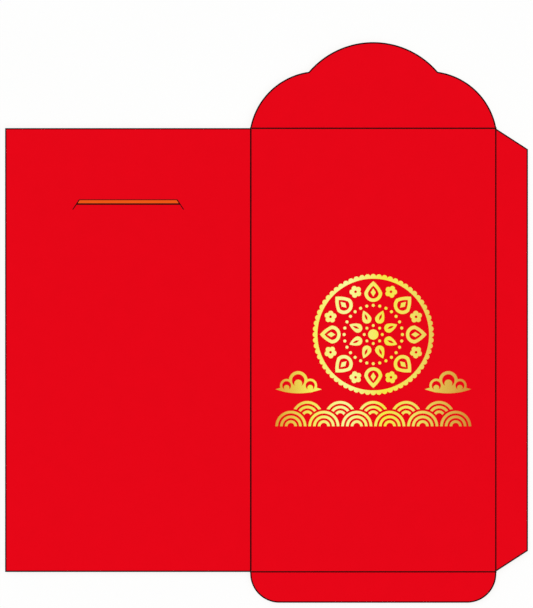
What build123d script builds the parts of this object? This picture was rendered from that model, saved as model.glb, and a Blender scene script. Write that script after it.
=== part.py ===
"""A red gift envelope as its flat blank: one die-cut and creased card, printed side up.

The front panel lies in the middle. The back panel, the seam flap, the top flap and the bottom flap
hang on it by scored creases and fold away from the print, and that closes the envelope. A tongue
cut in the back panel takes the tip of the closed top flap. Gold foil is stamped on the front panel.

Sizes are in millimetres. X runs to the right, Y towards the top flap and Z out of the printed face.
The origin is the centre of the front panel's underside.
"""

import os

from build123d import *

# Card
card_thickness = 0.3
layer_gap = 0.08  # air between two folded layers

# Panels, measured between the centre lines of their creases
envelope_width = 90.0
envelope_height = 163.0

# Cut edges that lie a little outside the centre lines of the side creases
back_panel_overhang = 0.2  # of the back panel's free edge, once it is folded over the front panel
flap_overhang = 0.2  # of the top and bottom flaps' roots, on each side

# Creases: a groove pressed into the printed side, so that the card bends there
crease_width = 0.6
crease_groove_depth = 0.12
fold_angle = 179.99  # a fold that is pressed shut stays a hair short of a half turn

# Top flap: a round lobe between two shoulders, with a notch on each side of the lobe
top_flap_height = 31.6
top_flap_notch_inset = 21.5  # from the flap's side
top_flap_notch_height = 20.7
top_flap_shoulder_bulge = 4.8  # of the shoulder's arc over its chord

# Bottom flap
bottom_flap_depth = 11.3
bottom_flap_end_straight = 0.6  # from the crease to the start of the round corner

# Seam flap: its ends start just inside the front panel's corners and taper outwards
seam_flap_width = 11.8
seam_flap_setback = 0.1
seam_flap_taper = 7.65

# Tuck slot: a tongue of the back panel, cut free on three sides
slot_drop = 26.2  # from the back panel's top edge to the tongue's free edge
slot_lip_height = 3.7
slot_lip_edge_width = 35.7
slot_lip_taper = 2.55  # on each side, from the free edge to the base
slot_kerf = 0.15  # width of the cut around the tongue
slot_band_height = 1.6
slot_lift_angle = 40

# Films on the printed face
foil_thickness = 0.05
band_thickness = 0.05

# Stamped roundel: a flower within a beaded rim, above the middle of the front panel.
# It is one drawing, so its places and widths are shares of its radius.
roundel_radius = 21.2
roundel_rise = 5.7
petal_count = 8
petal_bulge_share = 0.08  # of the length of a petal's side
core_share = 0.09
stamen_share = 0.026
stamen_ring_share = 0.156
# Petals, cut-outs and seeds: place of the root, place of the tip, and width
inner_petal_shares = (0.212, 0.448, 0.16)
inner_slit_shares = (0.264, 0.387, 0.052)
outer_petal_shares = (0.566, 0.925, 0.311)
outer_cutout_shares = (0.623, 0.844, 0.189)
outer_seed_shares = (0.656, 0.802, 0.09)
pearl_count = 28
pearl_share = 0.028
pearl_ring_share = 0.505
blossom_ring_share = 0.802
blossom_petal_count = 5
blossom_petal_share = 0.047
blossom_petal_offset_share = 0.061
blossom_eye_share = 0.024
rim_inner_share = 0.967
bead_count = 64
bead_share = 0.052

# Stamped waves under the roundel: overlapping scales of half rings in two rows
wave_clearance = 2.05  # from the roundel's rim to the top of the waves
wave_radius = 5.75
wave_side_gap = 0.6
wave_row_rise = 3.6
wave_row_count = 2
wave_front_count = 6
wave_ring_width = 1.0
wave_ring_gap = 0.75
wave_ring_count = 3
wave_gap = 0.7  # that a wave clears around itself in the row behind

# Stamped clouds: one on each side, lobes with a crescent curl on a swept base
cloud_side_clearance = 5.1  # from the roundel's rim to the cloud's middle
cloud_clearance = 2.75  # from the top of the waves to the foot of the cloud's base
cloud_length = 17.0
cloud_base_swell = 1.5
# Lobes: place along and above the base, and radius, as shares of the cloud's length
cloud_lobe_shares = ((-0.25, 0.08, 0.15), (0.01, 0.19, 0.205), (0.26, 0.08, 0.145))
# Curl: radii of the cut and of the disc left in it, and the disc's shift, as shares of the lobe's radius
cloud_cut_share = 0.66
cloud_disc_share = 0.42
cloud_shift_share = 0.32

# Sides of the small stamped rounds and of the larger ones
dot_sides = 10
ring_sides = 24

half_width = envelope_width / 2
half_height = envelope_height / 2
flap_reach = half_width + flap_overhang
flap_width = 2 * flap_reach

# A fold's axis lies under the card, half way through the layers that the fold closes over:
# nothing but air at the seam flap, the seam flap at the back panel, and both at the outer flaps.
seam_fold_depth = layer_gap / 2
back_fold_depth = (2 * layer_gap + card_thickness) / 2
outer_fold_depth = (3 * layer_gap + 2 * card_thickness) / 2

# The slot is where the tip of the top flap comes down, mirrored over the left fold
slot_centre = -envelope_width
slot_edge_y = half_height - slot_drop
slot_base_y = slot_edge_y - slot_lip_height
slot_lip_base_width = slot_lip_edge_width + 2 * slot_lip_taper

bottom_flap_corner_radius = bottom_flap_depth - bottom_flap_end_straight

# The waves lie under the roundel's rim, and the clouds beside it, above the waves
rim_reach = roundel_radius + bead_share * roundel_radius
wave_pitch = 2 * wave_radius + wave_side_gap
wave_top_y = roundel_rise - rim_reach - wave_clearance
wave_foot_y = wave_top_y - wave_radius - (wave_row_count - 1) * wave_row_rise
wave_ring_step = wave_ring_width + wave_ring_gap
cloud_x = rim_reach + cloud_side_clearance
cloud_y = wave_top_y + cloud_clearance + cloud_base_swell

print_face = Plane.XY.offset(card_thickness)
roundel_plane = Plane((0, roundel_rise, card_thickness))

os.makedirs("parts", exist_ok=True)


def lip_outline(clearance):
    """Corners of the slot's tongue, standing out by the clearance on its three cut sides."""
    base_reach = slot_lip_base_width / 2 + clearance
    edge_reach = slot_lip_edge_width / 2 + clearance
    edge_y = slot_edge_y + clearance
    return (
        (slot_centre - base_reach, slot_base_y),
        (slot_centre + base_reach, slot_base_y),
        (slot_centre + edge_reach, edge_y),
        (slot_centre - edge_reach, edge_y),
    )


def petal(shares):
    """A petal along X: a half round at its root, and sides that bulge a little on their way to the tip."""
    root, tip, width = (share * roundel_radius for share in shares)
    shoulder = root + width / 2
    side_bulge = petal_bulge_share * (tip - shoulder)
    with BuildSketch() as shape:
        with BuildLine():
            ThreePointArc((shoulder, width / 2), (root, 0), (shoulder, -width / 2))
            SagittaArc((shoulder, -width / 2), (tip, 0), -side_bulge)
            SagittaArc((shoulder, width / 2), (tip, 0), side_bulge)
        make_face()
    return shape.sketch


def lozenge(shares):
    """A long diamond along X."""
    root, tip, width = (share * roundel_radius for share in shares)
    middle = (root + tip) / 2
    with BuildSketch() as shape:
        with BuildLine():
            Polyline((root, 0), (middle, -width / 2), (tip, 0), (middle, width / 2), close=True)
        make_face()
    return shape.sketch


# Front panel, which the four folds hang on
with BuildPart() as front_panel:
    with BuildSketch():
        Rectangle(envelope_width - crease_width, envelope_height - crease_width)
    extrude(amount=card_thickness)
    RevoluteJoint(
        "back_panel_fold",
        axis=Axis((-half_width, 0, -back_fold_depth), (0, -1, 0)),
        angular_range=(0, fold_angle),
    )
    RevoluteJoint(
        "seam_flap_fold",
        axis=Axis((half_width, 0, -seam_fold_depth), (0, 1, 0)),
        angular_range=(0, fold_angle),
    )
    RevoluteJoint(
        "top_flap_fold",
        axis=Axis((0, half_height, -outer_fold_depth), (-1, 0, 0)),
        angular_range=(0, fold_angle),
    )
    RevoluteJoint(
        "bottom_flap_fold",
        axis=Axis((0, -half_height, -outer_fold_depth), (1, 0, 0)),
        angular_range=(0, fold_angle),
    )
front_panel.part.label = "front_panel"
export_step(front_panel.part, "parts/front_panel.step")

# Back panel, with the window that its tongue lies in
with BuildPart() as back_panel:
    with BuildSketch():
        with Locations((-half_width, 0)):
            Rectangle(
                envelope_width + back_panel_overhang,
                envelope_height,
                align=(Align.MAX, Align.CENTER),
            )
            Rectangle(crease_width, envelope_height, mode=Mode.SUBTRACT)
        with BuildLine():
            Polyline(*lip_outline(slot_kerf), close=True)
        make_face(mode=Mode.SUBTRACT)
    extrude(amount=card_thickness)
    RevoluteJoint(
        "slot_lip_lift",
        axis=Axis((slot_centre, slot_base_y, card_thickness), (-1, 0, 0)),
        angular_range=(-slot_lift_angle, 0),
    )
back_panel.part.label = "back_panel"
export_step(back_panel.part, "parts/back_panel.step")

# Tongue of the tuck slot
with BuildPart() as slot_lip:
    with BuildSketch():
        with BuildLine():
            Polyline(*lip_outline(0), close=True)
        make_face()
    extrude(amount=card_thickness)
slot_lip.part.label = "slot_lip"
export_step(slot_lip.part, "parts/slot_lip.step")

# Orange band along the tongue's free edge
with BuildPart() as slot_band:
    with BuildSketch(print_face):
        with BuildLine():
            Polyline(*lip_outline(0), close=True)
        make_face()
        with Locations((slot_centre, slot_edge_y - slot_band_height)):
            Rectangle(
                slot_lip_base_width,
                slot_lip_height,
                align=(Align.CENTER, Align.MAX),
                mode=Mode.SUBTRACT,
            )
    extrude(amount=band_thickness)
slot_band.part.label = "slot_band"
export_step(slot_band.part, "parts/slot_band.step")

# Top flap
with BuildPart() as top_flap:
    with BuildSketch():
        with BuildLine():
            left_root = (-flap_reach, half_height)
            left_notch = (-flap_reach + top_flap_notch_inset, half_height + top_flap_notch_height)
            tip = (0, half_height + top_flap_height)
            right_notch = (flap_reach - top_flap_notch_inset, half_height + top_flap_notch_height)
            right_root = (flap_reach, half_height)
            SagittaArc(left_root, left_notch, top_flap_shoulder_bulge)
            ThreePointArc(left_notch, tip, right_notch)
            SagittaArc(right_notch, right_root, top_flap_shoulder_bulge)
            Line(right_root, left_root)
        make_face()
        with Locations((0, half_height)):
            Rectangle(flap_width, crease_width, mode=Mode.SUBTRACT)
    extrude(amount=card_thickness)
top_flap.part.label = "top_flap"
export_step(top_flap.part, "parts/top_flap.step")

# Bottom flap
with BuildPart() as bottom_flap:
    with BuildSketch():
        with Locations((0, -half_height)):
            sheet = Rectangle(flap_width, bottom_flap_depth, align=(Align.CENTER, Align.MAX))
            fillet(sheet.vertices().group_by(Axis.Y)[0], bottom_flap_corner_radius)
            Rectangle(flap_width, crease_width, mode=Mode.SUBTRACT)
    extrude(amount=card_thickness)
bottom_flap.part.label = "bottom_flap"
export_step(bottom_flap.part, "parts/bottom_flap.step")

# Seam flap
with BuildPart() as seam_flap:
    with BuildSketch():
        with BuildLine():
            root_reach = half_height - seam_flap_setback
            edge_reach = root_reach - seam_flap_taper
            Polyline(
                (half_width, -root_reach),
                (half_width + seam_flap_width, -edge_reach),
                (half_width + seam_flap_width, edge_reach),
                (half_width, root_reach),
                close=True,
            )
        make_face()
        with Locations((half_width, 0)):
            Rectangle(crease_width, envelope_height, mode=Mode.SUBTRACT)
    extrude(amount=card_thickness)
seam_flap.part.label = "seam_flap"
export_step(seam_flap.part, "parts/seam_flap.step")

# Creases: the level ones are as wide as the flaps on them, and the upright ones lie between the level ones
upright_length = envelope_height - crease_width
level_length = flap_width
creases = {
    "left_crease": (Plane((-half_width, 0, 0), x_dir=(1, 0, 0), z_dir=(0, -1, 0)), upright_length),
    "right_crease": (Plane((half_width, 0, 0), x_dir=(1, 0, 0), z_dir=(0, -1, 0)), upright_length),
    "top_crease": (Plane((0, half_height, 0), x_dir=(0, 1, 0), z_dir=(1, 0, 0)), level_length),
    "bottom_crease": (Plane((0, -half_height, 0), x_dir=(0, 1, 0), z_dir=(1, 0, 0)), level_length),
}
for name, (plane, length) in creases.items():
    with BuildPart() as crease:
        with BuildSketch(plane):
            with BuildLine():
                lower_left = (-crease_width / 2, 0)
                lower_right = (crease_width / 2, 0)
                upper_right = (crease_width / 2, card_thickness)
                upper_left = (-crease_width / 2, card_thickness)
                Polyline(upper_left, lower_left, lower_right, upper_right)
                SagittaArc(upper_right, upper_left, crease_groove_depth)
            make_face()
        extrude(amount=length / 2, both=True)
    crease.part.label = name
    export_step(crease.part, f"parts/{name}.step")

# Foil: core of the flower and the stamens around it
with BuildPart() as foil_core:
    with BuildSketch(roundel_plane):
        RegularPolygon(core_share * roundel_radius, ring_sides)
        with PolarLocations(stamen_ring_share * roundel_radius, petal_count):
            RegularPolygon(stamen_share * roundel_radius, dot_sides)
    extrude(amount=foil_thickness)
foil_core.part.label = "foil_core"
export_step(foil_core.part, "parts/foil_core.step")

# Foil: inner petals, each with a slit, set between the outer ones
half_petal_turn = 360 / petal_count / 2
inner_petal = petal(inner_petal_shares)
inner_slit = lozenge(inner_slit_shares)
with BuildPart() as foil_inner_petals:
    with BuildSketch(roundel_plane):
        with PolarLocations(0, petal_count, start_angle=half_petal_turn):
            add(inner_petal)
            add(inner_slit, mode=Mode.SUBTRACT)
    extrude(amount=foil_thickness)
foil_inner_petals.part.label = "foil_inner_petals"
export_step(foil_inner_petals.part, "parts/foil_inner_petals.step")

# Foil: ring of pearls
with BuildPart() as foil_pearls:
    with BuildSketch(roundel_plane):
        with PolarLocations(pearl_ring_share * roundel_radius, pearl_count):
            RegularPolygon(pearl_share * roundel_radius, dot_sides)
    extrude(amount=foil_thickness)
foil_pearls.part.label = "foil_pearls"
export_step(foil_pearls.part, "parts/foil_pearls.step")

# Foil: outer petals, each open in the middle around a seed
outer_petal = petal(outer_petal_shares)
outer_cutout = petal(outer_cutout_shares)
outer_seed = lozenge(outer_seed_shares)
with BuildPart() as foil_outer_petals:
    with BuildSketch(roundel_plane):
        with PolarLocations(0, petal_count):
            add(outer_petal)
            add(outer_cutout, mode=Mode.SUBTRACT)
            add(outer_seed)
    extrude(amount=foil_thickness)
foil_outer_petals.part.label = "foil_outer_petals"
export_step(foil_outer_petals.part, "parts/foil_outer_petals.step")

# Foil: five-petalled blossoms between the outer petals
blossom_petal_offset = blossom_petal_offset_share * roundel_radius
with BuildSketch() as blossom:
    RegularPolygon(blossom_petal_offset, blossom_petal_count)
    with PolarLocations(blossom_petal_offset, blossom_petal_count):
        RegularPolygon(blossom_petal_share * roundel_radius, dot_sides)
    RegularPolygon(blossom_eye_share * roundel_radius, dot_sides, mode=Mode.SUBTRACT)
with BuildPart() as foil_blossoms:
    with BuildSketch(roundel_plane):
        with PolarLocations(blossom_ring_share * roundel_radius, petal_count, start_angle=half_petal_turn):
            add(blossom.sketch)
    extrude(amount=foil_thickness)
foil_blossoms.part.label = "foil_blossoms"
export_step(foil_blossoms.part, "parts/foil_blossoms.step")

# Foil: rim of the roundel, beaded on its outer edge
with BuildPart() as foil_rim:
    with BuildSketch(roundel_plane):
        Circle(roundel_radius)
        with PolarLocations(roundel_radius, bead_count):
            RegularPolygon(bead_share * roundel_radius, dot_sides)
        Circle(rim_inner_share * roundel_radius, mode=Mode.SUBTRACT)
    extrude(amount=foil_thickness)
foil_rim.part.label = "foil_rim"
export_step(foil_rim.part, "parts/foil_rim.step")

# Foil: waves, drawn from the back row to the front row, each row clearing a gap around itself
with BuildPart() as foil_waves:
    with BuildSketch(print_face):
        for row in range(wave_row_count):
            rows_in_front = wave_row_count - 1 - row
            with Locations((0, wave_foot_y + rows_in_front * wave_row_rise)):
                with GridLocations(wave_pitch, 0, wave_front_count - rows_in_front, 1):
                    if row:
                        RegularPolygon(wave_radius + wave_gap, ring_sides, mode=Mode.SUBTRACT)
                    for ring in range(wave_ring_count):
                        ring_radius = wave_radius - ring * wave_ring_step
                        RegularPolygon(ring_radius, ring_sides)
                        RegularPolygon(ring_radius - wave_ring_width, ring_sides, mode=Mode.SUBTRACT)
                Rectangle(
                    wave_front_count * wave_pitch,
                    wave_radius,
                    align=(Align.CENTER, Align.MAX),
                    mode=Mode.SUBTRACT,
                )
    extrude(amount=foil_thickness)
foil_waves.part.label = "foil_waves"
export_step(foil_waves.part, "parts/foil_waves.step")

# Foil: clouds, each lobe with a crescent cut into it that opens towards the lobe's top
with BuildSketch() as cloud:
    with BuildLine():
        SagittaArc((-cloud_length / 2, 0), (cloud_length / 2, 0), cloud_base_swell)
        SagittaArc((cloud_length / 2, 0), (-cloud_length / 2, 0), cloud_base_swell)
    make_face()
    for along_share, above_share, radius_share in cloud_lobe_shares:
        with Locations((along_share * cloud_length, above_share * cloud_length)):
            RegularPolygon(radius_share * cloud_length, ring_sides)
    for along_share, above_share, radius_share in cloud_lobe_shares:
        lobe_radius = radius_share * cloud_length
        with Locations((along_share * cloud_length, above_share * cloud_length)):
            RegularPolygon(lobe_radius * cloud_cut_share, ring_sides, mode=Mode.SUBTRACT)
            with Locations((0, -lobe_radius * cloud_shift_share)):
                RegularPolygon(lobe_radius * cloud_disc_share, ring_sides)
with BuildPart() as foil_clouds:
    with BuildSketch(print_face):
        with Locations((cloud_x, cloud_y)):
            add(cloud.sketch)
        mirror(about=Plane.YZ)
    extrude(amount=foil_thickness)
foil_clouds.part.label = "foil_clouds"
export_step(foil_clouds.part, "parts/foil_clouds.step")

for name, joint in (front_panel.joints | back_panel.joints).items():
    print(name, joint.relative_axis, joint.angular_range)
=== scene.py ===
"""Looks of a red gift envelope, laid out flat as its die-cut blank with the printed side up.

Each panel, flap and crease is modelled again as printed card, with the key line along its cut edges,
its pale cut edge and its plain reverse. The foil is modelled again with round outlines and the edge
that a stamp leaves.
"""

import logging
import math
from collections.abc import Callable
from dataclasses import dataclass, field
from enum import Enum

import bmesh
import bpy
from bmesh.types import BMEdge, BMFace
from bpy.types import Material, Mesh, Node, NodeSocket, NodeTree, Object
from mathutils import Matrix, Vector


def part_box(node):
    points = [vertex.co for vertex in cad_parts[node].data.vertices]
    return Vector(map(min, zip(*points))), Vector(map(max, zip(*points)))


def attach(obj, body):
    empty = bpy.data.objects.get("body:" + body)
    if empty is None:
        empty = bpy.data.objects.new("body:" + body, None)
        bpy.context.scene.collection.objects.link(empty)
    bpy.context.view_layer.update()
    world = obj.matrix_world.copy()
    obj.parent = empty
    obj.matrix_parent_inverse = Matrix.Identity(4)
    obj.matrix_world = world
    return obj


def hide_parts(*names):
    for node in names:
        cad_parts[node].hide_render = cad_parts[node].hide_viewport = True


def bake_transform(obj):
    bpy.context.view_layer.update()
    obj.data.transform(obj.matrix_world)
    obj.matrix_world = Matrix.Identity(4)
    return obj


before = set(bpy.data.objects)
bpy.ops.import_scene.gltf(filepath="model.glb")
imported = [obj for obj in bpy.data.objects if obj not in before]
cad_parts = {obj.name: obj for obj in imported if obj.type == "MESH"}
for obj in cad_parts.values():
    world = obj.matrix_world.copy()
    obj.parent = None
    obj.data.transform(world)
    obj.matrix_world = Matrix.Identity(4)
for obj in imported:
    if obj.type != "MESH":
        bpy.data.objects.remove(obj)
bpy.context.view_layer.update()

MM = 0.001
MERGE_GAP = 0.001 * MM  # points closer than this are one point
CUT_GAP = 0.0001 * MM  # points closer than this to a cut lie on it
FLAT_ANGLE = math.radians(0.5)  # faces that meet at less than this are one face
SMOOTH_ANGLE = math.radians(40)  # faces of a bend that meet at less than this are one round surface
FACET_ROUNDING = 42.0  # percentage of a facet that is rounded off at each of its ends
FACET_SEGMENTS = 3  # segments of that rounding
FACING = 0.9  # least share of a face's normal along Z for a face that lies flat
SHOULDER_DROP = 0.03 * MM  # how far the print side rolls down beside a crease
WHITE = (1.0, 1.0, 1.0, 1.0)

# Inputs and output of a Mix node that mixes colours
SHARE, FIRST, SECOND, MIXED = 0, 6, 7, 2

Inputs = dict[str | int, object]

log = logging.getLogger("envelope")


def linear(hex_code: str) -> tuple[float, float, float, float]:
    """Turns an sRGB hex colour into linear RGBA.

    Args:
        hex_code: Colour as "#rrggbb".

    Returns:
        Linear red, green, blue and an alpha of 1.
    """
    shades = (int(hex_code[i : i + 2], 16) / 255 for i in (1, 3, 5))
    return (*(s / 12.92 if s <= 0.04045 else ((s + 0.055) / 1.055) ** 2.4 for s in shades), 1.0)


def per_mm(size_mm: float) -> float:
    """Returns the scale of a pattern whose marks are this many millimetres apart."""
    return 1 / (size_mm * MM)


def add_node(tree: NodeTree, kind: str, inputs: Inputs | None = None, **settings: object) -> Node:
    """Adds a node with its settings, values and links.

    Args:
        tree: Node tree that gets the node.
        kind: Blender's name for the kind of node.
        inputs: Name or index of an input, with its value or with the output that feeds it.
        **settings: Properties of the node.

    Returns:
        The new node.
    """
    node = tree.nodes.new(kind)
    for name, value in settings.items():
        setattr(node, name, value)
    for key, value in (inputs or {}).items():
        if isinstance(value, NodeSocket):
            tree.links.new(value, node.inputs[key])
        else:
            node.inputs[key].default_value = value
    return node


def start_material(name: str) -> tuple[Material, NodeTree, NodeSocket]:
    """Makes an empty node material.

    Args:
        name: Name of the real material.

    Returns:
        The material, its node tree and the output of Object coordinates.
    """
    material = bpy.data.materials.new(name)
    material.use_nodes = True
    tree = material.node_tree
    tree.nodes.clear()
    return material, tree, add_node(tree, "ShaderNodeTexCoord").outputs["Object"]


def seen_directly(tree: NodeTree) -> NodeSocket:
    """Tells the rays that see a background, also in metal or through glass, from those that light things.

    Args:
        tree: Node tree of the background.

    Returns:
        Output that is 1 for a ray that sees it and 0 for any other.
    """
    path = add_node(tree, "ShaderNodeLightPath")
    direct = add_node(tree, "ShaderNodeMath", {
        0: path.outputs["Is Camera Ray"], 1: path.outputs["Is Glossy Ray"],
    }, operation="MAXIMUM")
    seen = add_node(tree, "ShaderNodeMath", {
        0: direct.outputs["Value"], 1: path.outputs["Is Transmission Ray"],
    }, operation="MAXIMUM")
    return seen.outputs["Value"]


@dataclass(frozen=True)
class Finish:
    """What a surface is made of and how it was made.

    Attributes:
        name: Name of the material.
    """

    name: str

    def inputs(self, tree: NodeTree, place: NodeSocket) -> Inputs:
        """Adds the nodes that draw the finish.

        Args:
            tree: Node tree of the material.
            place: Output of Object coordinates.

        Returns:
            Inputs of the shader.
        """
        raise NotImplementedError

    def material(self) -> Material:
        """Builds the node material.

        Returns:
            The material, whose patterns stay in place on the piece.
        """
        material, tree, place = start_material(self.name)
        shader = add_node(tree, "ShaderNodeBsdfPrincipled", self.inputs(tree, place))
        add_node(tree, "ShaderNodeOutputMaterial", {"Surface": shader.outputs["BSDF"]})
        return material


@dataclass(frozen=True)
class PrintedCard(Finish):
    """Offset ink on smooth coated card: an even, deep colour with a matt surface.

    The eye sees a very slight cloudiness of the card under the ink, and a faint tooth in raking light.

    Attributes:
        ink: Colour of the ink.
        deep_ink: Colour of the ink where the card lies a little thicker.
        cloud_mm: Size of the card's clouds.
        tooth_mm: Size of the tooth. The real one is near 0.1 mm, so it is drawn coarser to show at all.
        tooth_depth_mm: Depth of the tooth.
        tooth_strength: Share of that depth that shows.
        roughness: Least and greatest roughness.
        specular: Specular level of the matt ink.
    """

    ink: str
    deep_ink: str
    cloud_mm: float = 7.0
    tooth_mm: float = 0.5
    tooth_depth_mm: float = 0.012
    tooth_strength: float = 0.35
    roughness: tuple[float, float] = (0.52, 0.66)
    specular: float = 0.03

    def inputs(self, tree: NodeTree, place: NodeSocket) -> Inputs:
        """Adds the card's clouds and the print's tooth.

        Args:
            tree: Node tree of the material.
            place: Output of Object coordinates.

        Returns:
            Inputs of the shader.
        """
        clouds = add_node(tree, "ShaderNodeTexNoise", {
            "Vector": place, "Scale": per_mm(self.cloud_mm), "Detail": 4.0, "Roughness": 0.6})
        tooth = add_node(tree, "ShaderNodeTexNoise", {
            "Vector": place, "Scale": per_mm(self.tooth_mm), "Detail": 2.0, "Roughness": 0.5})
        colour = add_node(tree, "ShaderNodeMix", {
            SHARE: clouds.outputs["Fac"], FIRST: linear(self.ink), SECOND: linear(self.deep_ink),
        }, data_type="RGBA")
        low, high = self.roughness
        gloss = add_node(tree, "ShaderNodeMapRange", {
            "Value": tooth.outputs["Fac"], "To Min": low, "To Max": high})
        relief = add_node(tree, "ShaderNodeBump", {
            "Strength": self.tooth_strength, "Distance": self.tooth_depth_mm * MM,
            "Height": tooth.outputs["Fac"]})
        return {"Base Color": colour.outputs[MIXED], "Roughness": gloss.outputs["Result"],
                "Specular IOR Level": self.specular, "Normal": relief.outputs["Normal"]}


@dataclass(frozen=True)
class KeyLineInk(Finish):
    """Black key-line ink over the print: a fine dark line, warm where the colour below shows through.

    Attributes:
        black: Colour where the ink is full.
        thin: Colour where the ink is thin.
        spread_mm: Size of the patches of thin ink, drawn coarser than the real ones to show.
        roughness: Roughness of the dry ink.
        specular: Specular level.
    """

    name: str = "black_key_line_ink"
    black: str = "#0B0304"
    thin: str = "#240508"
    spread_mm: float = 0.8
    roughness: float = 0.55
    specular: float = 0.03

    def inputs(self, tree: NodeTree, place: NodeSocket) -> Inputs:
        """Adds the patches of thin ink.

        Args:
            tree: Node tree of the material.
            place: Output of Object coordinates.

        Returns:
            Inputs of the shader.
        """
        spread = add_node(tree, "ShaderNodeTexNoise", {
            "Vector": place, "Scale": per_mm(self.spread_mm), "Detail": 2.0})
        colour = add_node(tree, "ShaderNodeMix", {
            SHARE: spread.outputs["Fac"], FIRST: linear(self.black), SECOND: linear(self.thin),
        }, data_type="RGBA")
        return {"Base Color": colour.outputs[MIXED], "Roughness": self.roughness,
                "Specular IOR Level": self.specular}


@dataclass(frozen=True)
class CutEdge(Finish):
    """Fibre core of the card at a die-cut edge: pale, rough and layered along the sheet.

    Attributes:
        pale: Colour of the clean fibre.
        shade: Colour between the layers.
        layer_mm: Spacing of the layers through the card.
        along_mm: Length of a layer's streak along the edge.
        roughness: Roughness of the fibre.
        specular: Specular level.
    """

    name: str = "die_cut_card_core"
    pale: str = "#F3E9DC"
    shade: str = "#D9C6B4"
    layer_mm: float = 0.07
    along_mm: float = 1.6
    roughness: float = 0.9
    specular: float = 0.2

    def inputs(self, tree: NodeTree, place: NodeSocket) -> Inputs:
        """Adds the layers of fibre.

        Args:
            tree: Node tree of the material.
            place: Output of Object coordinates.

        Returns:
            Inputs of the shader.
        """
        stretch = add_node(tree, "ShaderNodeMapping", {
            "Vector": place,
            "Scale": (per_mm(self.along_mm), per_mm(self.along_mm), per_mm(self.layer_mm))})
        layers = add_node(tree, "ShaderNodeTexNoise", {
            "Vector": stretch.outputs["Vector"], "Scale": 1.0, "Detail": 3.0})
        colour = add_node(tree, "ShaderNodeMix", {
            SHARE: layers.outputs["Fac"], FIRST: linear(self.pale), SECOND: linear(self.shade),
        }, data_type="RGBA")
        return {"Base Color": colour.outputs[MIXED], "Roughness": self.roughness,
                "Specular IOR Level": self.specular}


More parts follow.
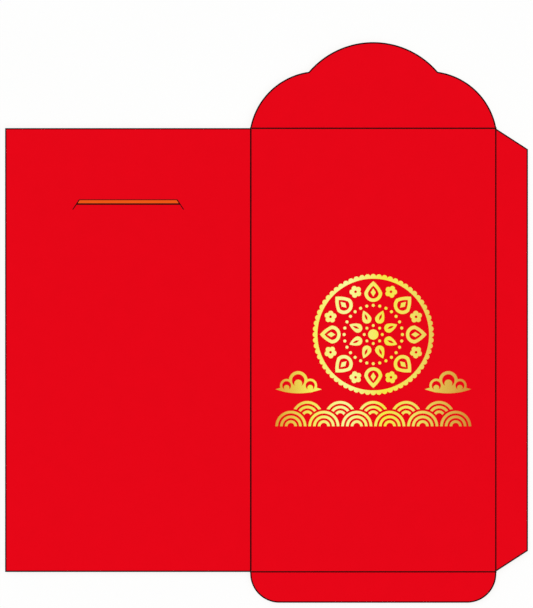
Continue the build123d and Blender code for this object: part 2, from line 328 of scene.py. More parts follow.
@dataclass(frozen=True)
class PlainReverse(Finish):
    """Uncoated reverse of the card: off-white and dull, with cloudy pulp, short fibres and a few specks.

    Attributes:
        pale: Colour of the clean pulp.
        cloud: Colour where the pulp lies thick.
        fibre: Colour of the fibres.
        speck: Colour of the specks.
        cloud_mm: Size of the clouds.
        fibre_mm: Width of a fibre, drawn coarser than the real 0.03 mm to show.
        fibre_length_mm: Length of a fibre.
        lie_mm: Stretch over which the lie of the fibres turns.
        fibre_band: Values of the fibres' noise at which a fibre starts to show and shows most.
        fibre_share: Share of the fibre's colour where it shows most.
        fibre_depth_mm: Depth of the fibres' relief.
        fibre_strength: Share of that depth that shows.
        speck_mm: Spacing of the specks.
        speck_radii: Radii, as shares of the spacing, within which a speck is full and past which it ends.
        speck_share: Share of the speck's colour where it is full.
        roughness: Roughness of the pulp.
        specular: Specular level.
    """

    name: str = "uncoated_card_reverse"
    pale: str = "#F8F4EC"
    cloud: str = "#E9E2D5"
    fibre: str = "#C9BBA6"
    speck: str = "#8F7A62"
    cloud_mm: float = 5.0
    fibre_mm: float = 0.5
    fibre_length_mm: float = 4.0
    lie_mm: float = 12.0
    fibre_band: tuple[float, float] = (0.55, 0.75)
    fibre_share: float = 0.6
    fibre_depth_mm: float = 0.02
    fibre_strength: float = 0.4
    speck_mm: float = 7.0
    speck_radii: tuple[float, float] = (0.02, 0.05)
    speck_share: float = 0.7
    roughness: float = 0.85
    specular: float = 0.2

    def inputs(self, tree: NodeTree, place: NodeSocket) -> Inputs:
        """Adds the pulp, the fibres and the specks.

        Args:
            tree: Node tree of the material.
            place: Output of Object coordinates.

        Returns:
            Inputs of the shader.
        """
        clouds = add_node(tree, "ShaderNodeTexNoise", {
            "Vector": place, "Scale": per_mm(self.cloud_mm), "Detail": 5.0, "Roughness": 0.65})
        pulp = add_node(tree, "ShaderNodeMix", {
            SHARE: clouds.outputs["Fac"], FIRST: linear(self.pale), SECOND: linear(self.cloud),
        }, data_type="RGBA")
        lie = add_node(tree, "ShaderNodeTexNoise", {
            "Vector": place, "Scale": per_mm(self.lie_mm), "Detail": 1.0})
        turn = add_node(tree, "ShaderNodeMath", {0: lie.outputs["Fac"], 1: math.tau}, operation="MULTIPLY")
        turned = add_node(tree, "ShaderNodeVectorRotate", {
            "Vector": place, "Axis": (0.0, 0.0, 1.0), "Angle": turn.outputs["Value"],
        }, rotation_type="AXIS_ANGLE")
        stretch = add_node(tree, "ShaderNodeMapping", {
            "Vector": turned.outputs["Vector"],
            "Scale": (per_mm(self.fibre_length_mm), per_mm(self.fibre_mm), 1.0)})
        strands = add_node(tree, "ShaderNodeTexNoise", {
            "Vector": stretch.outputs["Vector"], "Scale": 1.0, "Detail": 2.0})
        start, full = self.fibre_band
        fibres = add_node(tree, "ShaderNodeMapRange", {
            "Value": strands.outputs["Fac"], "From Min": start, "From Max": full,
            "To Min": 0.0, "To Max": self.fibre_share})
        strewn = add_node(tree, "ShaderNodeMix", {
            SHARE: fibres.outputs["Result"], FIRST: pulp.outputs[MIXED], SECOND: linear(self.fibre),
        }, data_type="RGBA")
        spots = add_node(tree, "ShaderNodeTexVoronoi", {
            "Vector": place, "Scale": per_mm(self.speck_mm),
        }, voronoi_dimensions="2D")
        inner, outer = self.speck_radii
        dots = add_node(tree, "ShaderNodeMapRange", {
            "Value": spots.outputs["Distance"], "From Min": inner, "From Max": outer,
            "To Min": self.speck_share, "To Max": 0.0})
        colour = add_node(tree, "ShaderNodeMix", {
            SHARE: dots.outputs["Result"], FIRST: strewn.outputs[MIXED], SECOND: linear(self.speck),
        }, data_type="RGBA")
        relief = add_node(tree, "ShaderNodeBump", {
            "Strength": self.fibre_strength, "Distance": self.fibre_depth_mm * MM,
            "Height": strands.outputs["Fac"]})
        return {"Base Color": colour.outputs[MIXED], "Roughness": self.roughness,
                "Specular IOR Level": self.specular, "Normal": relief.outputs["Normal"]}


@dataclass(frozen=True)
class StampedFoil(Finish):
    """Hot-stamped metal foil: a smooth gold, with a painted reflection that runs from ochre through pale
    gold and back to ochre.

    The eye sees a soft metal shine, a slight grain from the card below and a painted reflection
    in the base colour that shifts across the stamping.

    Attributes:
        painted_reflection_tones: Places across the stamping, in millimetres from its middle, and the
            colours of the painted reflection there.
        grain_mm: Size of the grain, drawn coarser than the card's own to show.
        grain_depth_mm: Depth of the grain.
        grain_strength: Share of that depth that shows.
        ripple_mm: Size of the slow ripple that a press leaves.
        roughness: Least and greatest roughness.
        metallic: Share of metal in the look; the rest is the lacquer's own colour.
    """

    name: str = "hot_stamped_gold_foil"
    painted_reflection_tones: tuple[tuple[float, str], ...] = (
        (-37.0, "#D18C2B"),
        (-22.0, "#EEE45A"),
        (-10.0, "#F0F096"),
        (4.0, "#ECDF3E"),
        (14.0, "#EADB60"),
        (37.0, "#C47829"),
    )
    grain_mm: float = 0.45
    grain_depth_mm: float = 0.01
    grain_strength: float = 0.3
    ripple_mm: float = 6.0
    roughness: tuple[float, float] = (0.26, 0.42)
    metallic: float = 0.9

    def inputs(self, tree: NodeTree, place: NodeSocket) -> Inputs:
        """Adds the painted reflection's tones, the grain and the ripple of the foil.

        Args:
            tree: Node tree of the material.
            place: Output of Object coordinates.

        Returns:
            Inputs of the shader.
        """
        split = add_node(tree, "ShaderNodeSeparateXYZ", {"Vector": place})
        # The base colour carries a painted reflection: ochre at both ends along X, pale gold near the
        # middle.
        first, last = self.painted_reflection_tones[0][0], self.painted_reflection_tones[-1][0]
        along = add_node(tree, "ShaderNodeMapRange", {
            "Value": split.outputs["X"], "From Min": first * MM, "From Max": last * MM})
        painted_reflection_ramp = add_node(tree, "ShaderNodeValToRGB", {"Fac": along.outputs["Result"]})
        stops = painted_reflection_ramp.color_ramp.elements
        stops.remove(stops[1])
        stops[0].position, stops[0].color = 0.0, linear(self.painted_reflection_tones[0][1])
        for position, colour in self.painted_reflection_tones[1:]:
            stops.new((position - first) / (last - first)).color = linear(colour)
        grain = add_node(tree, "ShaderNodeTexNoise", {
            "Vector": place, "Scale": per_mm(self.grain_mm), "Detail": 2.0})
        ripple = add_node(tree, "ShaderNodeTexNoise", {
            "Vector": place, "Scale": per_mm(self.ripple_mm), "Detail": 1.0})
        low, high = self.roughness
        gloss = add_node(tree, "ShaderNodeMapRange", {
            "Value": ripple.outputs["Fac"], "To Min": low, "To Max": high})
        relief = add_node(tree, "ShaderNodeBump", {
            "Strength": self.grain_strength, "Distance": self.grain_depth_mm * MM,
            "Height": grain.outputs["Fac"]})
        return {"Base Color": painted_reflection_ramp.outputs["Color"], "Metallic": self.metallic,
                "Roughness": gloss.outputs["Result"], "Normal": relief.outputs["Normal"]}


class Skin(Enum):
    """Material slot of a face on a piece of card."""

    PRINT = 0
    KEY_LINE = 1
    CUT_EDGE = 2
    REVERSE = 3


class BandSkin(Enum):
    """Material slot of a face on the orange band."""

    PRINT = 0
    KEY_LINE = 1


class Element(Enum):
    """Kind of mesh element to select, with the name of the mesh's list of them."""

    VERT = "verts"
    EDGE = "edges"
    FACE = "faces"


class Side(Enum):
    """Side of a piece's box: the axis, and 0 for its low end or 1 for its high end."""

    LEFT = (0, 0)
    RIGHT = (0, 1)
    BOTTOM = (1, 0)
    TOP = (1, 1)

    @property
    def axis(self) -> int:
        """Index of the axis that crosses this side."""
        return self.value[0]

    def place(self, node: str) -> float:
        """Returns where this side of the node's box lies on its axis."""
        axis, end = self.value
        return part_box(node)[end][axis]

    def outward(self) -> Vector:
        """Finds which way this side looks.

        Returns:
            The unit vector that points out of this side.
        """
        axis, end = self.value
        vector = Vector((0.0, 0.0, 0.0))
        vector[axis] = 2.0 * end - 1.0
        return vector


def start_piece(name: str, mesh: Mesh) -> Object:
    """Links a new object and makes it the only selected one.

    Args:
        name: Name of the piece.
        mesh: Its mesh.

    Returns:
        The new object, which is also the active one.
    """
    bpy.ops.object.select_all(action="DESELECT")
    piece = bpy.data.objects.new(name, mesh)
    bpy.context.scene.collection.objects.link(piece)
    piece.select_set(True)
    bpy.context.view_layer.objects.active = piece
    return piece


def copy_solid(node: str, name: str) -> Object:
    """Copies a node's solid into a new piece, with its loose triangles joined into whole faces.

    Args:
        node: Name of the node.
        name: Name of the new piece.

    Returns:
        The new piece, in edit mode.
    """
    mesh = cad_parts[node].data.copy()
    mesh.materials.clear()
    piece = start_piece(name, mesh)
    bpy.ops.object.shade_flat()
    bpy.ops.object.mode_set(mode="EDIT")
    bpy.ops.mesh.select_all(action="SELECT")
    bpy.ops.mesh.remove_doubles(threshold=MERGE_GAP)
    bpy.ops.mesh.dissolve_limited(angle_limit=FLAT_ANGLE)
    return piece


def select(piece: Object, kind: Element, test: Callable[..., bool]) -> int:
    """Selects the elements of a piece, in edit mode, that pass a test.

    Args:
        piece: The piece.
        kind: Kind of element.
        test: Takes a vertex, edge or face and says whether it is selected.

    Returns:
        How many were selected.
    """
    bpy.ops.mesh.select_mode(type=kind.name)
    bpy.ops.mesh.select_all(action="DESELECT")
    mesh = bmesh.from_edit_mesh(piece.data)
    chosen = [element for element in getattr(mesh, kind.value) if test(element)]
    for element in chosen:
        element.select_set(True)
    mesh.select_flush_mode()
    bmesh.update_edit_mesh(piece.data)
    return len(chosen)


def slice_through(place: Vector, normal: Vector, trim: bool = False) -> None:
    """Cuts the piece in edit mode along a plane, which adds a row of edges there.

    Args:
        place: Point of the plane.
        normal: Direction across the plane.
        trim: Whether the part on the normal's side is taken away and the cut closed.
    """
    bpy.ops.mesh.select_all(action="SELECT")
    bpy.ops.mesh.bisect(plane_co=place, plane_no=normal, threshold=CUT_GAP, use_fill=trim, clear_outer=trim)


def paint(piece: Object, choose: Callable[[BMFace], Enum | None]) -> None:
    """Gives each face of a piece, in edit mode, the skin that a function chooses for it.

    Args:
        piece: The piece.
        choose: Takes a face and returns its skin, or nothing where the face keeps the one that it has.
    """
    mesh = bmesh.from_edit_mesh(piece.data)
    for face in mesh.faces:
        skin = choose(face)
        if skin is not None:
            face.material_index = skin.value
    bmesh.update_edit_mesh(piece.data)


def faces_up(face: BMFace) -> bool:
    """Says whether a face lies flat and looks up."""
    return face.normal.z > FACING


def is_wall(face: BMFace) -> bool:
    """Says whether a face stands upright."""
    return abs(face.normal.z) < 1 - FACING


def round_outline(piece: Object, corner_angle: float) -> None:
    """Rounds the facets of a piece's outline, in edit mode, and leaves its real corners sharp.

    Args:
        piece: The piece.
        corner_angle: Walls that meet at more than this make a real corner.
    """

    def is_facet_edge(edge: BMEdge) -> bool:
        """Says whether an upright edge is one between two facets of a round outline."""
        upright = (edge.verts[0].co - edge.verts[1].co).xy.length < MERGE_GAP
        return upright and len(edge.link_faces) == 2 and FLAT_ANGLE < edge.calc_face_angle() < corner_angle

    if select(piece, Element.EDGE, is_facet_edge):
        bpy.ops.mesh.bevel(offset_type="PERCENT", offset_pct=FACET_ROUNDING, segments=FACET_SEGMENTS,
                           affect="EDGES")


@dataclass
class CardStock:
    """One-sided card: print and key line on the front, pale fibre at the cuts, plain on the reverse.

    Attributes:
        print_finish: Red print.
        key_line: Ink of the key lines.
        cut_edge: Fibre core at the cuts.
        reverse: Unprinted side.
        materials: Material of each skin.
    """

    print_finish: PrintedCard = PrintedCard("matt_red_offset_print", ink="#E90014", deep_ink="#E30013")
    key_line: KeyLineInk = KeyLineInk()
    cut_edge: CutEdge = CutEdge()
    reverse: PlainReverse = PlainReverse()
    materials: dict[Skin, Material] = field(init=False)

    def __post_init__(self) -> None:
        """Builds the card's four materials once, for all its pieces."""
        self.materials = {
            Skin.PRINT: self.print_finish.material(),
            Skin.KEY_LINE: self.key_line.material(),
            Skin.CUT_EDGE: self.cut_edge.material(),
            Skin.REVERSE: self.reverse.material(),
        }

    def dress(self, piece: Object, *skins: Skin) -> None:
        """Gives a piece materials of the card, all four in the order of Skin if none are named.

        Args:
            piece: The piece, whose faces already name their skins.
            *skins: Skins to give it.
        """
        for skin in skins or Skin:
            piece.data.materials.append(self.materials[skin])


@dataclass
class Panel:
    """A panel or flap of the blank, flat between its creases and its cut edges.

    Attributes:
        node: Node that the panel stands for, and the body that it rides on.
        folds: Sides that end at a crease, where no key line runs.
        stock: Card that it is made of.
        window: Node that lies in a window of this panel, or nothing.
        key_line: Width of the key line along a cut edge.
        overrun_share: How far the panel is lengthened past a fold while the key line is drawn, as a share
            of the line's width.
        shoulder_width: Width of the strip that rolls down to a crease.
        edge_round: Rounding that the cutting rule leaves on the print side.
        edge_segments: Segments of that rounding.
        corner_angle: Turn of the outline past which a corner is a real one.
    """

    node: str
    folds: tuple[Side, ...]
    stock: CardStock
    window: str = ""
    key_line: float = 0.49 * MM
    overrun_share: float = 2.0
    shoulder_width: float = 0.4 * MM
    edge_round: float = 0.04 * MM
    edge_segments: int = 2
    corner_angle: float = math.radians(20)

    def on_side(self, point: Vector, side: Side) -> bool:
        """Says whether a point lies on one side of the panel's box."""
        return abs(point[side.axis] - side.place(self.node)) < MERGE_GAP

    def at_fold(self, point: Vector) -> bool:
        """Says whether a point lies on a side that ends at a crease."""
        return any(self.on_side(point, side) for side in self.folds)

    def in_window(self, point: Vector) -> bool:
        """Says whether a point lies on the window's outline.

        Args:
            point: A point of the panel's outline.

        Returns:
            Whether it does; never so on a panel without a window.
        """
        if not self.window:
            return False
        low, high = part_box(self.window)
        return all(low[i] - self.key_line < point[i] < high[i] + self.key_line for i in (0, 1))

    def is_cut(self, edge: BMEdge) -> bool:
        """Says whether an edge of the print side runs along the die-cut outline.

        Args:
            edge: The edge.

        Returns:
            Whether it does; not so at a fold or at the window.
        """
        middle = (edge.verts[0].co + edge.verts[1].co) / 2
        beside_wall = any(is_wall(face) for face in edge.link_faces)
        return beside_wall and not self.at_fold(middle) and not self.in_window(middle)

    def skin_of(self, face: BMFace) -> Skin:
        """Chooses the skin of a face, once the key line's border is inset.

        Args:
            face: The face.

        Returns:
            Its skin.
        """
        if faces_up(face):
            return Skin.KEY_LINE if any(self.is_cut(edge) for edge in face.edges) else Skin.PRINT
        return Skin.CUT_EDGE if is_wall(face) else Skin.REVERSE

    def rounded_skin_of(self, face: BMFace) -> Skin | None:
        """Chooses the skin of a face once the cut edges are rounded.

        Args:
            face: The face.

        Returns:
            Its skin, or nothing for a face that lies flat.
        """
        if is_wall(face):
            return Skin.CUT_EDGE
        return Skin.KEY_LINE if 0 < face.normal.z < FACING else None

    def fold_place(self, side: Side) -> Vector:
        """Returns a point of the fold on one side of the panel."""
        outward = side.outward()
        return outward * outward[side.axis] * side.place(self.node)

    def lengthen(self, piece: Object, side: Side) -> None:
        """Pulls a fold's wall outwards, so that the key line's border runs straight past the fold.

        Args:
            piece: The piece, in edit mode.
            side: Side that ends at the crease.
        """
        select(piece, Element.FACE, lambda face: all(self.on_side(vert.co, side) for vert in face.verts))
        pull = side.outward() * self.overrun_share * self.key_line
        bpy.ops.mesh.extrude_region_move(TRANSFORM_OT_translate={"value": pull})

    def trim(self, side: Side) -> None:
        """Cuts the piece in edit mode off at a fold, where it was lengthened."""
        slice_through(self.fold_place(side), side.outward(), trim=True)

    def roll_down(self, piece: Object, side: Side) -> None:
        """Rolls the print side down to the crease's groove.

        Args:
            piece: The piece, in edit mode.
            side: Side that ends at the crease.
        """
        slice_through(self.fold_place(side) - side.outward() * self.shoulder_width, side.outward())
        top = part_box(self.node)[1].z
        select(piece, Element.VERT,
               lambda vert: abs(vert.co.z - top) < MERGE_GAP and self.on_side(vert.co, side))
        bpy.ops.transform.translate(value=(0, 0, -SHOULDER_DROP))

    def round_cut_edges(self, piece: Object) -> None:
        """Rounds the print side's edge along the die-cut outline.

        Args:
            piece: The piece, in edit mode.
        """
        if select(piece, Element.EDGE,
                  lambda edge: self.is_cut(edge) and any(map(faces_up, edge.link_faces))):
            bpy.ops.mesh.bevel(offset=self.edge_round, segments=self.edge_segments, affect="EDGES")
        paint(piece, self.rounded_skin_of)

    def build(self) -> Object:
        """Models the panel, dresses it and puts it in the node's place.

        Returns:
            The finished piece.
        """
        piece = copy_solid(self.node, f"{self.node}_card")
        round_outline(piece, self.corner_angle)
        has_cuts = len(self.folds) < len(Side)
        if has_cuts:
            for side in self.folds:
                self.lengthen(piece, side)
            select(piece, Element.FACE, faces_up)
            bpy.ops.mesh.inset(thickness=self.key_line, use_even_offset=True)
        paint(piece, self.skin_of)
        for side in self.folds:
            if has_cuts:
                self.trim(side)
            self.roll_down(piece, side)
        self.round_cut_edges(piece)
        bpy.ops.mesh.select_all(action="SELECT")
        bpy.ops.mesh.normals_make_consistent(inside=False)
        bpy.ops.object.mode_set(mode="OBJECT")
        self.stock.dress(piece)
        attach(piece, self.node)
        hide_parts(self.node)
        return piece


@dataclass
class Crease:
    """A scored strip of card along a fold, with the key line along its groove.

    The strip's near part, with the line, lies on the front panel's side. Its far part is cut into closer
    rows.

    Attributes:
        node: Node that the crease stands for.
        child: Body on its far side; the front panel is on its near side. Not used.
        side: Side of the front panel that it lies on.
        stock: Card that it is made of.
        flat_rows: Number of rows in the flat part.
        bend_rows: Number of rows in the part that bends, enough for a round edge.
        groove_depth: Depth of the pressed groove.
        line_width: Width of the key line.
        line_shift: How far the line lies from the groove's middle, towards the front panel.
        end_line: Width of the key line across its ends, where it meets the line of a cut edge.
        end_reach: How far its ends reach past the solid's, which closes the blank's corners.
        size: Size of the strip.
        middle: Middle of the strip.
    """

    node: str
    child: str
    side: Side
    stock: CardStock
    flat_rows: int = 8
    bend_rows: int = 18
    groove_depth: float = 0.12 * MM
    line_width: float = 0.5 * MM
    line_shift: float = 0.0
    end_line: float = 0.47 * MM
    end_reach: float = 0.0
    size: Vector = field(init=False)
    middle: Vector = field(init=False)

    def __post_init__(self) -> None:
        """Reads the strip's size and place from its solid."""
        low, high = (corner.copy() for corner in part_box(self.node))
        low[self.along] -= self.end_reach
        high[self.along] += self.end_reach
        self.size, self.middle = high - low, (high + low) / 2

    @property
    def along(self) -> int:
        """Index of the axis that the crease runs along."""
        return 1 - self.side.axis

    @property
    def half_width(self) -> float:
        """Half of the strip's width."""
        return self.size[self.side.axis] / 2

    @property
    def bend_start(self) -> float:
        """Distance of the part that bends from the strip's middle."""
        return self.line_width / 2 - self.line_shift

    def rows(self) -> list[float]:
        """Spaces the rows of the flat part, and the closer ones of the part that bends.

        Returns:
            Distances of the rows from the strip's middle, from the front panel outwards.
        """
        half, start = self.half_width, self.bend_start
        flat = [-half + (half + start) * row / self.flat_rows for row in range(self.flat_rows)]
        bend = [start + (half - start) * row / self.bend_rows for row in range(self.bend_rows + 1)]
        return flat + bend

    def start_strip(self) -> Object:
        """Adds the strip as a plain bar at its size and place.

        Returns:
            The new piece, in edit mode.
        """
        bpy.ops.object.select_all(action="DESELECT")
        bpy.ops.mesh.primitive_cube_add(size=1.0, location=self.middle)
        piece = bpy.context.object
        piece.name = piece.data.name = f"{self.node}_card"
        piece.scale = self.size
        bpy.ops.object.transform_apply(location=True, rotation=True, scale=True)
        bpy.ops.object.mode_set(mode="EDIT")
        return piece

    def cut_rows(self) -> None:
        """Cuts the strip in edit mode into its rows, and across where the key lines of its ends start."""
        outward = self.side.outward()
        for offset in self.rows()[1:-1]:
            slice_through(self.middle + outward * offset, outward)
        length = Vector((0.0, 0.0, 0.0))
        length[self.along] = 1.0
        reach = length * (self.size[self.along] / 2 - self.end_line)
        for place in (self.middle + reach, self.middle - reach):
            slice_through(place, length)

    def press_groove(self, piece: Object) -> None:
        """Sinks the rows of the print side into a round groove.

        Args:
            piece: The piece, in edit mode.
        """
        outward = self.side.outward()
        for offset in self.rows():
            select(piece, Element.VERT, lambda vert: vert.co.z > self.middle.z
                   and abs((vert.co - self.middle).dot(outward) - offset) < MERGE_GAP)
            sink = SHOULDER_DROP + self.groove_depth * (1 - (offset / self.half_width) ** 2)
            bpy.ops.transform.translate(value=(0, 0, -sink))

    def skin_of(self, face: BMFace) -> Skin:
        """Chooses the skin of a face of the strip.

        Args:
            face: The face.

        Returns:
            Its skin.
        """
        if is_wall(face):
            return Skin.CUT_EDGE
        if face.normal.z < 0:
            return Skin.REVERSE
        centre = face.calc_center_median() - self.middle
        in_line = abs(centre.dot(self.side.outward()) + self.line_shift) < self.line_width / 2
        at_end = self.size[self.along] / 2 - abs(centre[self.along]) < self.end_line
        return Skin.KEY_LINE if in_line or at_end else Skin.PRINT

    def build(self) -> Object:
        """Models the crease and dresses it.

        Returns:
            The finished piece.
        """
        piece = self.start_strip()
        self.cut_rows()
        self.press_groove(piece)
        paint(piece, self.skin_of)
        bpy.ops.object.mode_set(mode="OBJECT")
        bpy.ops.object.shade_smooth_by_angle(angle=SMOOTH_ANGLE)
        self.stock.dress(piece)
        outward = self.side.outward()
        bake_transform(piece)
        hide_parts(self.node)
        return piece


@dataclass
class TuckSlot:
    """The tongue cut in the back panel, and the orange band along its free edge.

    Attributes:
        stock: Card that the tongue is made of.
        band_finish: Print of the band.
        kerf: Gap that the solids leave around the tongue.
        hairline: Gap that is left of it, since a cutting rule takes no card away.
        bend_length: Stretch at the tongue's base over which it bends.
        bend_rows: Number of rows in that stretch.
        upper_line: Width of the key line on the band, along the free edge.
        lower_line: Width of the key line on the band, along its lower edge.
        under_line: Width of that line on the tongue, under the band.
        leg_line: Width of the key line along the tongue's slanted sides.
        end_line: Width of the key line on the band, along its slanted ends.
    """

    stock: CardStock
    band_finish: PrintedCard = PrintedCard("matt_orange_offset_print", ink="#F15914", deep_ink="#ED540F")
    kerf: float = 0.15 * MM
    hairline: float = 0.0005 * MM
    bend_length: float = 1.5 * MM
    bend_rows: int = 6
    upper_line: float = 0.27 * MM
    lower_line: float = 0.2 * MM
    under_line: float = 0.36 * MM
    leg_line: float = 0.34 * MM
    end_line: float = 0.16 * MM

    @property
    def centre_x(self) -> float:
        """Place of the slot's middle along X."""
        low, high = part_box("slot_lip")
        return (low.x + high.x) / 2

    @property
    def widening(self) -> float:
        """How far the tongue grows at each of its cut sides, which closes the cut to a hairline."""
        return self.kerf - self.hairline

    def start_tongue(self) -> Object:
        """Copies the tongue, widens it and cuts it into rows.

        Returns:
            The new piece, in edit mode.
        """
        low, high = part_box("slot_lip")
        band_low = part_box("slot_band")[0]
        piece = copy_solid("slot_lip", "slot_lip_card")
        for sign in (-1, 1):
            select(piece, Element.VERT, lambda vert: (vert.co.x - self.centre_x) * sign > 0)
            bpy.ops.transform.translate(value=(sign * self.widening, 0, 0))
        select(piece, Element.VERT, lambda vert: vert.co.y > high.y - MERGE_GAP)
        bpy.ops.transform.translate(value=(0, self.widening, 0))
        rows = [low.y + self.bend_length * (row + 1) / self.bend_rows for row in range(self.bend_rows)]
        for row_y in (*rows, band_low.y - self.under_line, band_low.y, high.y):
            slice_through(Vector((0.0, row_y, 0.0)), Vector((0.0, 1.0, 0.0)))
        return piece

    def draw_tongue_lines(self, piece: Object) -> None:
        """Cuts the key lines along the tongue's slanted sides, and gives every face its skin.

        Args:
            piece: The tongue, in edit mode.
        """
        low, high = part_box("slot_lip")
        band_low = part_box("slot_band")[0]
        reaches = [abs(vert.co.x - self.centre_x) for vert in bmesh.from_edit_mesh(piece.data).verts]
        base_reach, edge_reach = max(reaches), min(reaches)
        leg = Vector((edge_reach - base_reach, high.y + self.widening - low.y)).normalized()
        for sign in (-1, 1):
            normal = Vector((sign * leg.y, -leg.x, 0.0))
            corner = Vector((self.centre_x + sign * base_reach, low.y, 0.0))
            slice_through(corner - normal * self.leg_line, normal)

        def leg_depth(point: Vector) -> float:
            """Returns how far a point lies inside the tongue's slanted side."""
            aside = abs(point.x - self.centre_x) - base_reach
            return -(aside * leg.y - (point.y - low.y) * leg.x)

        def skin_of(face: BMFace) -> Skin:
            """Chooses the skin of a face of the tongue.

            Args:
                face: The face.

            Returns:
                Its skin.
            """
            if not faces_up(face):
                return Skin.CUT_EDGE if is_wall(face) else Skin.REVERSE
            centre = face.calc_center_median()
            under_band = band_low.y - self.under_line < centre.y < band_low.y
            at_leg = centre.y < high.y and leg_depth(centre) < self.leg_line
            return Skin.KEY_LINE if under_band or at_leg else Skin.PRINT

        paint(piece, skin_of)

    def build_tongue(self) -> Object:
        """Models the tongue and dresses it.

        Returns:
            The finished piece.
        """
        piece = self.start_tongue()
        self.draw_tongue_lines(piece)
        bpy.ops.object.mode_set(mode="OBJECT")
        bpy.ops.object.shade_smooth_by_angle(angle=SMOOTH_ANGLE)
        self.stock.dress(piece)
        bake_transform(piece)
        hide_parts("slot_lip")
        return piece

    def build_band(self) -> Object:
        """Models the band as a thin film of ink, with key lines along its edges and its slanted ends.

        Returns:
            The finished piece.
        """
        low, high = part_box("slot_band")
        piece = copy_solid("slot_band", "slot_band_print")
        select(piece, Element.FACE, faces_up)
        bpy.ops.mesh.inset(thickness=self.upper_line, use_even_offset=True)
        select(piece, Element.VERT, lambda vert: abs(vert.co.y - low.y - self.upper_line) < MERGE_GAP)
        bpy.ops.transform.translate(value=(0, self.lower_line - self.upper_line, 0))
        for sign in (-1, 1):
            select(piece, Element.VERT, lambda vert: (vert.co.x - self.centre_x) * sign > 0
                   and low.y + MERGE_GAP < vert.co.y < high.y - MERGE_GAP)
            bpy.ops.transform.translate(value=(sign * (self.upper_line - self.end_line), 0, 0))
        inner_low, inner_high = low.y + self.lower_line - MERGE_GAP, high.y - self.upper_line + MERGE_GAP

        def skin_of(face: BMFace) -> BandSkin:
            """Chooses the skin of a face of the band."""
            inside = all(inner_low < vert.co.y < inner_high for vert in face.verts)
            return BandSkin.PRINT if inside else BandSkin.KEY_LINE

        paint(piece, skin_of)
        bpy.ops.object.mode_set(mode="OBJECT")
        piece.data.materials.append(self.band_finish.material())
        self.stock.dress(piece, Skin.KEY_LINE)
        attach(piece, "slot_lip")
        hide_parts("slot_band")
        return piece


@dataclass
class FoilStamping:
    """The gold foil on the front panel, as separate islands grouped by motif.

    Attributes:
        nodes: Nodes that the foil stands for.
        finish: Finish of the foil.
        edge_round: Rounding that the stamp leaves on the foil's upper edge.
        edge_segments: Segments of that rounding.
        corner_angle: Turn of an outline past which a corner is a point of the drawing.
    """

    nodes: tuple[str, ...] = (
        "foil_core",
        "foil_inner_petals",
        "foil_pearls",
        "foil_outer_petals",
        "foil_blossoms",
        "foil_rim",
        "foil_waves",
        "foil_clouds",
    )
    finish: StampedFoil = StampedFoil()
    edge_round: float = 0.02 * MM
    edge_segments: int = 1
    corner_angle: float = math.radians(50)

    def is_rim_edge(self, edge: BMEdge) -> bool:
        """Says whether an edge is one between an island's upper face and its wall."""
        return any(map(faces_up, edge.link_faces)) and any(map(is_wall, edge.link_faces))

    def build(self) -> list[Object]:
        """Models every group of foil islands and dresses it.

        Returns:
            The finished pieces.
        """
        gold = self.finish.material()
        pieces = []
        for node in self.nodes:
            piece = copy_solid(node, node.replace("foil_", "gold_"))
            round_outline(piece, self.corner_angle)
            select(piece, Element.EDGE, self.is_rim_edge)
            bpy.ops.mesh.bevel(offset=self.edge_round, segments=self.edge_segments, affect="EDGES")
            bpy.ops.object.mode_set(mode="OBJECT")
            piece.data.materials.append(gold)
            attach(piece, "front_panel")
            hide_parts(node)
            pieces.append(piece)
        return pieces


@dataclass(frozen=True)
class Lamp:
    """A wide, soft lamp far away.

    Attributes:
        height: Angle over the horizon, in degrees.
        direction: Angle around Z, in degrees.
        power: Strength.
    """

    height: float
    direction: float
    power: float


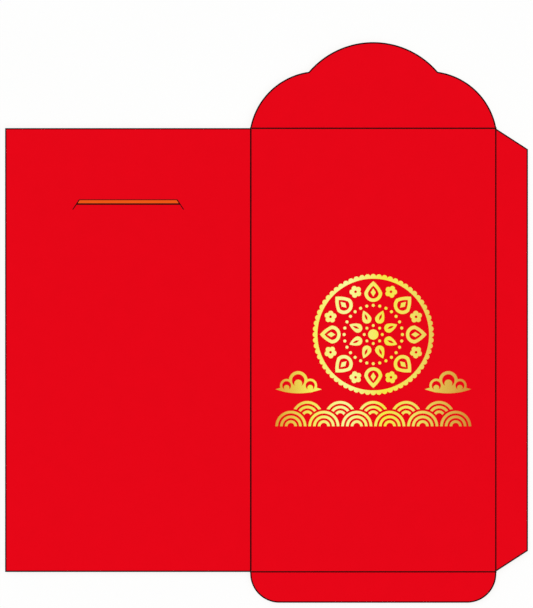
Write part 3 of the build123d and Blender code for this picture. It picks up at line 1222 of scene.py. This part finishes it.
@dataclass
class Studio:
    """A plain white floor, soft even light and a camera that looks straight down.

    Attributes:
        floor_drop: Depth of the floor under the flat blank, which leaves room for the folded layers.
        floor_size: Width of the floor.
        floor_glow: Share of the floor that the camera sees as plain white, besides its lit surface.
        floor_tones: Two whites of the paper on the floor.
        floor_cloud_mm: Size of the patches of the two whites.
        ambient: Strength of the light from all around.
        lamps: Soft lamps.
        lamp_angle: Apparent width of a lamp in degrees, which softens its shadow.
        view_centre: Point of the print side under the camera.
        view_height: Height of the picture on the print side.
        lens: Focal length of the camera, long enough to keep the view flat.
    """

    floor_drop: float = 1.2 * MM
    floor_size: float = 12.0
    floor_glow: float = 0.6
    floor_tones: tuple[str, str] = ("#FEFEFD", "#FBFBFA")
    floor_cloud_mm: float = 60.0
    ambient: float = 0.78
    lamps: tuple[Lamp, ...] = (Lamp(52.0, 125.0, 0.58), Lamp(44.0, -40.0, 0.34))
    lamp_angle: float = 50.0
    view_centre: tuple[float, float] = (-39.21 * MM, 16.91 * MM)
    view_height: float = 223.28 * MM
    lens: float = 100.0

    def floor_paper(self) -> Material:
        """Builds the floor's material: white paper from above, and clear from below.

        Returns:
            The material.
        """
        material, tree, place = start_material("white_studio_paper")
        shape = add_node(tree, "ShaderNodeNewGeometry")
        clouds = add_node(tree, "ShaderNodeTexNoise", {
            "Vector": place, "Scale": per_mm(self.floor_cloud_mm), "Detail": 2.0})
        first, second = self.floor_tones
        colour = add_node(tree, "ShaderNodeMix", {
            SHARE: clouds.outputs["Fac"], FIRST: linear(first), SECOND: linear(second),
        }, data_type="RGBA")
        paper = add_node(tree, "ShaderNodeBsdfDiffuse", {"Color": colour.outputs[MIXED]})
        glow = add_node(tree, "ShaderNodeEmission", {"Color": WHITE, "Strength": 1.0})
        share = add_node(tree, "ShaderNodeMath", {
            0: seen_directly(tree), 1: self.floor_glow,
        }, operation="MULTIPLY")
        upper = add_node(tree, "ShaderNodeMixShader", {
            0: share.outputs["Value"], 1: paper.outputs["BSDF"], 2: glow.outputs["Emission"]})
        clear = add_node(tree, "ShaderNodeBsdfTransparent")
        sheet = add_node(tree, "ShaderNodeMixShader", {
            0: shape.outputs["Backfacing"], 1: upper.outputs["Shader"], 2: clear.outputs["BSDF"]})
        add_node(tree, "ShaderNodeOutputMaterial", {"Surface": sheet.outputs["Shader"]})
        return material

    def build_floor(self) -> None:
        """Lays the floor, which takes the blank's shadow but doesn't shade or tint its underside."""
        bpy.ops.object.select_all(action="DESELECT")
        bpy.ops.mesh.primitive_plane_add(size=self.floor_size, location=(0, 0, -self.floor_drop))
        floor = bpy.context.object
        floor.name = "studio_floor"
        floor.data.materials.append(self.floor_paper())
        floor.visible_shadow = False
        floor.visible_diffuse = False

    def build_light(self) -> None:
        """Sets the light from all around and the soft lamps."""
        world = bpy.data.worlds.new("white_studio")
        world.use_nodes = True
        tree = world.node_tree
        tree.nodes.clear()
        strength = add_node(tree, "ShaderNodeMapRange", {
            "Value": seen_directly(tree), "To Min": self.ambient, "To Max": 1.0})
        light = add_node(tree, "ShaderNodeBackground", {
            "Color": WHITE, "Strength": strength.outputs["Result"]})
        add_node(tree, "ShaderNodeOutputWorld", {"Surface": light.outputs["Background"]})
        bpy.context.scene.world = world
        for number, lamp in enumerate(self.lamps):
            data = bpy.data.lights.new(f"soft_lamp_{number}", "SUN")
            data.energy = lamp.power
            data.angle = math.radians(self.lamp_angle)
            holder = bpy.data.objects.new(data.name, data)
            tilt, turn = 90 - lamp.height, 90 + lamp.direction
            holder.rotation_euler = (math.radians(tilt), 0, math.radians(turn))
            bpy.context.scene.collection.objects.link(holder)

    def build_camera(self) -> None:
        """Hangs the camera over the blank, with the top flap at the top of the picture."""
        data = bpy.data.cameras.new("camera")
        data.lens = self.lens
        camera = bpy.data.objects.new("camera", data)
        print_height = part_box("front_panel")[1].z
        distance = self.lens / data.sensor_width * self.view_height
        camera.location = (*self.view_centre, print_height + distance)
        bpy.context.scene.collection.objects.link(camera)
        bpy.context.scene.camera = camera


def main() -> None:
    """Builds every sub-assembly in order, reports each piece and then sets up the studio."""
    logging.basicConfig(level=logging.INFO, format="%(name)s %(message)s")
    bpy.context.scene.view_settings.view_transform = "Standard"
    stock = CardStock()
    panels = (
        Panel("front_panel", tuple(Side), stock),
        Panel("back_panel", (Side.RIGHT,), stock, window="slot_lip"),
        Panel("seam_flap", (Side.LEFT,), stock),
        Panel("top_flap", (Side.BOTTOM,), stock, key_line=0.53 * MM),
        Panel("bottom_flap", (Side.TOP,), stock, key_line=0.51 * MM),
    )
    level = {"line_shift": 0.05 * MM, "end_reach": 0.1 * MM}
    creases = (
        Crease("left_crease", "back_panel", Side.LEFT, stock, line_width=0.55 * MM, line_shift=0.025 * MM,
               end_line=0.2 * MM),
        Crease("right_crease", "seam_flap", Side.RIGHT, stock, line_width=0.475 * MM, line_shift=-0.02 * MM,
               end_line=0.58 * MM),
        Crease("top_crease", "top_flap", Side.TOP, stock, **level),
        Crease("bottom_crease", "bottom_flap", Side.BOTTOM, stock, **level),
    )
    slot = TuckSlot(stock)
    pieces = [sheet.build() for sheet in (*panels, *creases)]
    pieces += [slot.build_tongue(), slot.build_band(), *FoilStamping().build()]
    for piece in pieces:
        log.info("%s: %d faces", piece.name, len(piece.data.polygons))
    studio = Studio()
    studio.build_floor()
    studio.build_light()
    studio.build_camera()


if __name__ == "__main__":
    main()
